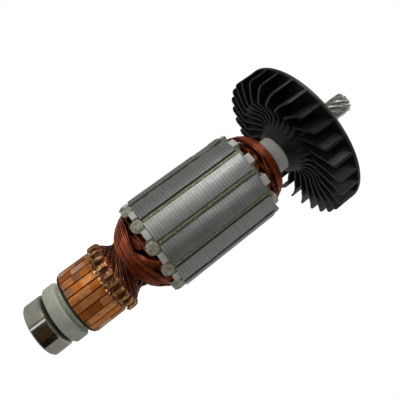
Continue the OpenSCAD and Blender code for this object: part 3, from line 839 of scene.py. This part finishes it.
def make_winding():
    """The coils' wires in place of their solids, and the soaked turns under them in painted shade.
    """
    enamel = wire_enamel("wire_enamel", (0.17, 0.021, 0.005), (0.84, 0.170, 0.028))
    for number in range(1, SLOTS + 1):
        verts, faces, tone = coil_wires(number)
        coil = make_mesh(f"coil_wires_{number}", verts, faces, smooth=True, tone=tone)
        coil.data.materials.append(enamel)
        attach(coil, "rotor")
        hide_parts(f"coil_{number}")
    hearts = (("winding_heart_rear", REAR, 300), ("winding_heart_front", FRONT, 301))
    for name, end, seed in hearts:
        verts, faces, tone = winding_heart(end, seed)
        heart = make_mesh(name, verts, faces, smooth=True, tone=tone)
        heart.data.materials.append(enamel)
        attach(heart, "rotor")


# Leads

LEAD_R, HAIRPIN_R = 0.23, 0.40
# The heights between which a strand starts in its hook, and the least where it leaves it
HOOK_FOOT, HOOK_TOP = (31.2, 32.9), 32.4
# The two bends of thicker wire in each hook
HAIRPIN_HEIGHTS, HAIRPIN_TURNS = (31.5, 32.4), (-5, -2.5, 0, 2.5, 5)
# Each strand's place beside its hook and sweep round the neck, in degrees, and its depth
LEAD_WAYS = ((4.6, -64, -0.25), (-4.6, -52, 0.05), (3.8, 26, 0.45), (-3.8, -40, 0.55),
             (3.0, -70, 0.8), (-3.0, 34, 0.9))


def lead_line(hook_turn, offset, sweep, depth, rng):
    """A coil end from inside its hook, out at one side, down the neck at a slant and in under
    the end turns. A stop is a radius, a height, a share of the sweep and one of the offset."""
    start = rng.uniform(*HOOK_FOOT)
    stops = [
        (13.5, start, 0.0, -0.8), (13.55, start, 0.0, 0.1), (13.5, max(start, HOOK_TOP), 0.0, 1.0),
        (13.1, 34.3, 0.03, 1.1), (12.3, 35.7, 0.14, 1.0), (11.2, 36.9, 0.32, 1.0),
        (10.4, 38.0, 0.55, 1.0), (9.9, 39.3, 0.80, 1.0), (10.3, 41.0, 1.0, 1.0),
        (10.8, 42.6, 1.1, 1.0)
    ]
    line = []
    for r, z, share, aside in stops:
        turn = hook_turn + offset * aside + sweep * share + rng.normal(0, 1.0) * share
        turn = math.radians(turn)
        r -= depth * min(1, 2.5 * share)
        line.append((r * math.cos(turn), r * math.sin(turn), z + rng.normal(0, 0.08)))
    return np.array(line)


def make_leads():
    """The coil ends on the hooks, which cross each other in layers on the neck."""
    rng = np.random.default_rng(SEED)
    parts, tones = [], []
    for i in range(BARS):
        middle = GAP_TURN + (i + 0.5) * BAR_PITCH
        for height in HAIRPIN_HEIGHTS:
            line = []
            for turn in (math.radians(middle + aside) for aside in HAIRPIN_TURNS):
                z = height + rng.normal(0, 0.05)
                line.append((TRACK_R * math.cos(turn), TRACK_R * math.sin(turn), z))
            parts.append(wire_rod(spline(np.array(line), 3), HAIRPIN_R))
            tones.append(np.full(len(parts[-1][0]), rng.uniform(0, 0.3)))
        for offset, sweep, depth in LEAD_WAYS:
            line = lead_line(middle, offset, sweep + rng.normal(0, 8), depth, rng)
            parts.append(wire_rod(spline(line, 5), LEAD_R))
            # Painted shade: strands that lie deeper under the others get a darker tone.
            shade = rng.uniform(0, 1) ** 2 * (1 - 0.6 * max(0, depth))
            tones.append(np.full(len(parts[-1][0]), shade))
    verts, faces = join(parts)
    # A darker copy of the wire enamel: painted shade on the neck.
    enamel = wire_enamel("lead_enamel_shaded", (0.045, 0.009, 0.003), (0.70, 0.15, 0.025))
    leads = make_mesh("leads", verts * MM, faces, smooth=True, tone=np.concatenate(tones))
    leads.data.materials.append(enamel)
    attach(leads, "rotor")
    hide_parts("lead_wires")


# Varnish in the slot mouths

BEAD_FOOT_R = 19.5
BEAD_HALF, BEAD_RISE, BEAD_SWAY = 0.85, 0.65, 0.20
BEAD_POINTS, BEAD_STEP = 7, 0.4


def rolling_noise(rng, count, window):
    """Random numbers averaged over a window, so that neighbours are alike."""
    return np.convolve(rng.normal(0, 1, count + window - 1), np.ones(window) / window, "valid")


def make_beads():
    """A wavy ridge of varnish along each wedge."""
    rng = np.random.default_rng(SEED + 100)
    across = BEAD_POINTS
    heights = np.arange(CORE_LOW + 0.4, CORE_HIGH - 0.3, BEAD_STEP)
    parts = []
    for slot in range(SLOTS):
        turn = math.radians(SLOT_TURN + slot * SLOT_PITCH)
        cosine, sine = math.cos(turn), math.sin(turn)
        wave = rolling_noise(rng, len(heights), 5)
        sway = rolling_noise(rng, len(heights), 15)
        verts = []
        for z, bulge, aside in zip(heights, wave, sway):
            half = BEAD_HALF + 0.10 * bulge
            for k in range(across):
                s = half * (2 * k / (across - 1) - 1)
                arch = math.sqrt(max(0, 1 - (s / half) ** 2))
                r = BEAD_FOOT_R + (BEAD_RISE + 0.12 * bulge) * arch
                s += BEAD_SWAY * aside
                verts.append((r * cosine - s * sine, r * sine + s * cosine, z))
        faces = []
        for j in range(len(heights) - 1):
            for k in range(across - 1):
                a = j * across + k
                faces.append((a, a + 1, a + across + 1, a + across))
        last = (len(heights) - 1) * across
        faces.append(tuple(range(across))[::-1])
        faces.append(tuple(last + k for k in range(across)))
        for j in range(len(heights) - 1):
            near, far = j * across, (j + 1) * across
            faces.append((near, far, far + across - 1, far - 1))
        parts.append((verts, faces))
    verts, faces = join(parts)
    # The varnish beads carry strong painted glints in their colour.
    varnish = resin("bead_varnish", (0.105, 0.105, 0.055), (0.22, 0.215, 0.125), 0.18,
                    grain=0.8, coat=1.0, painted_glints=(0.50, 0.58, 3.5))
    beads = make_mesh("slot_varnish", verts * MM, faces, smooth=True)
    beads.data.materials.append(varnish)
    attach(beads, "rotor")


make_camera()
make_stage()
dress_nodes()
make_winding()
make_leads()
make_beads()

bpy.context.scene.view_settings.view_transform = "Standard"
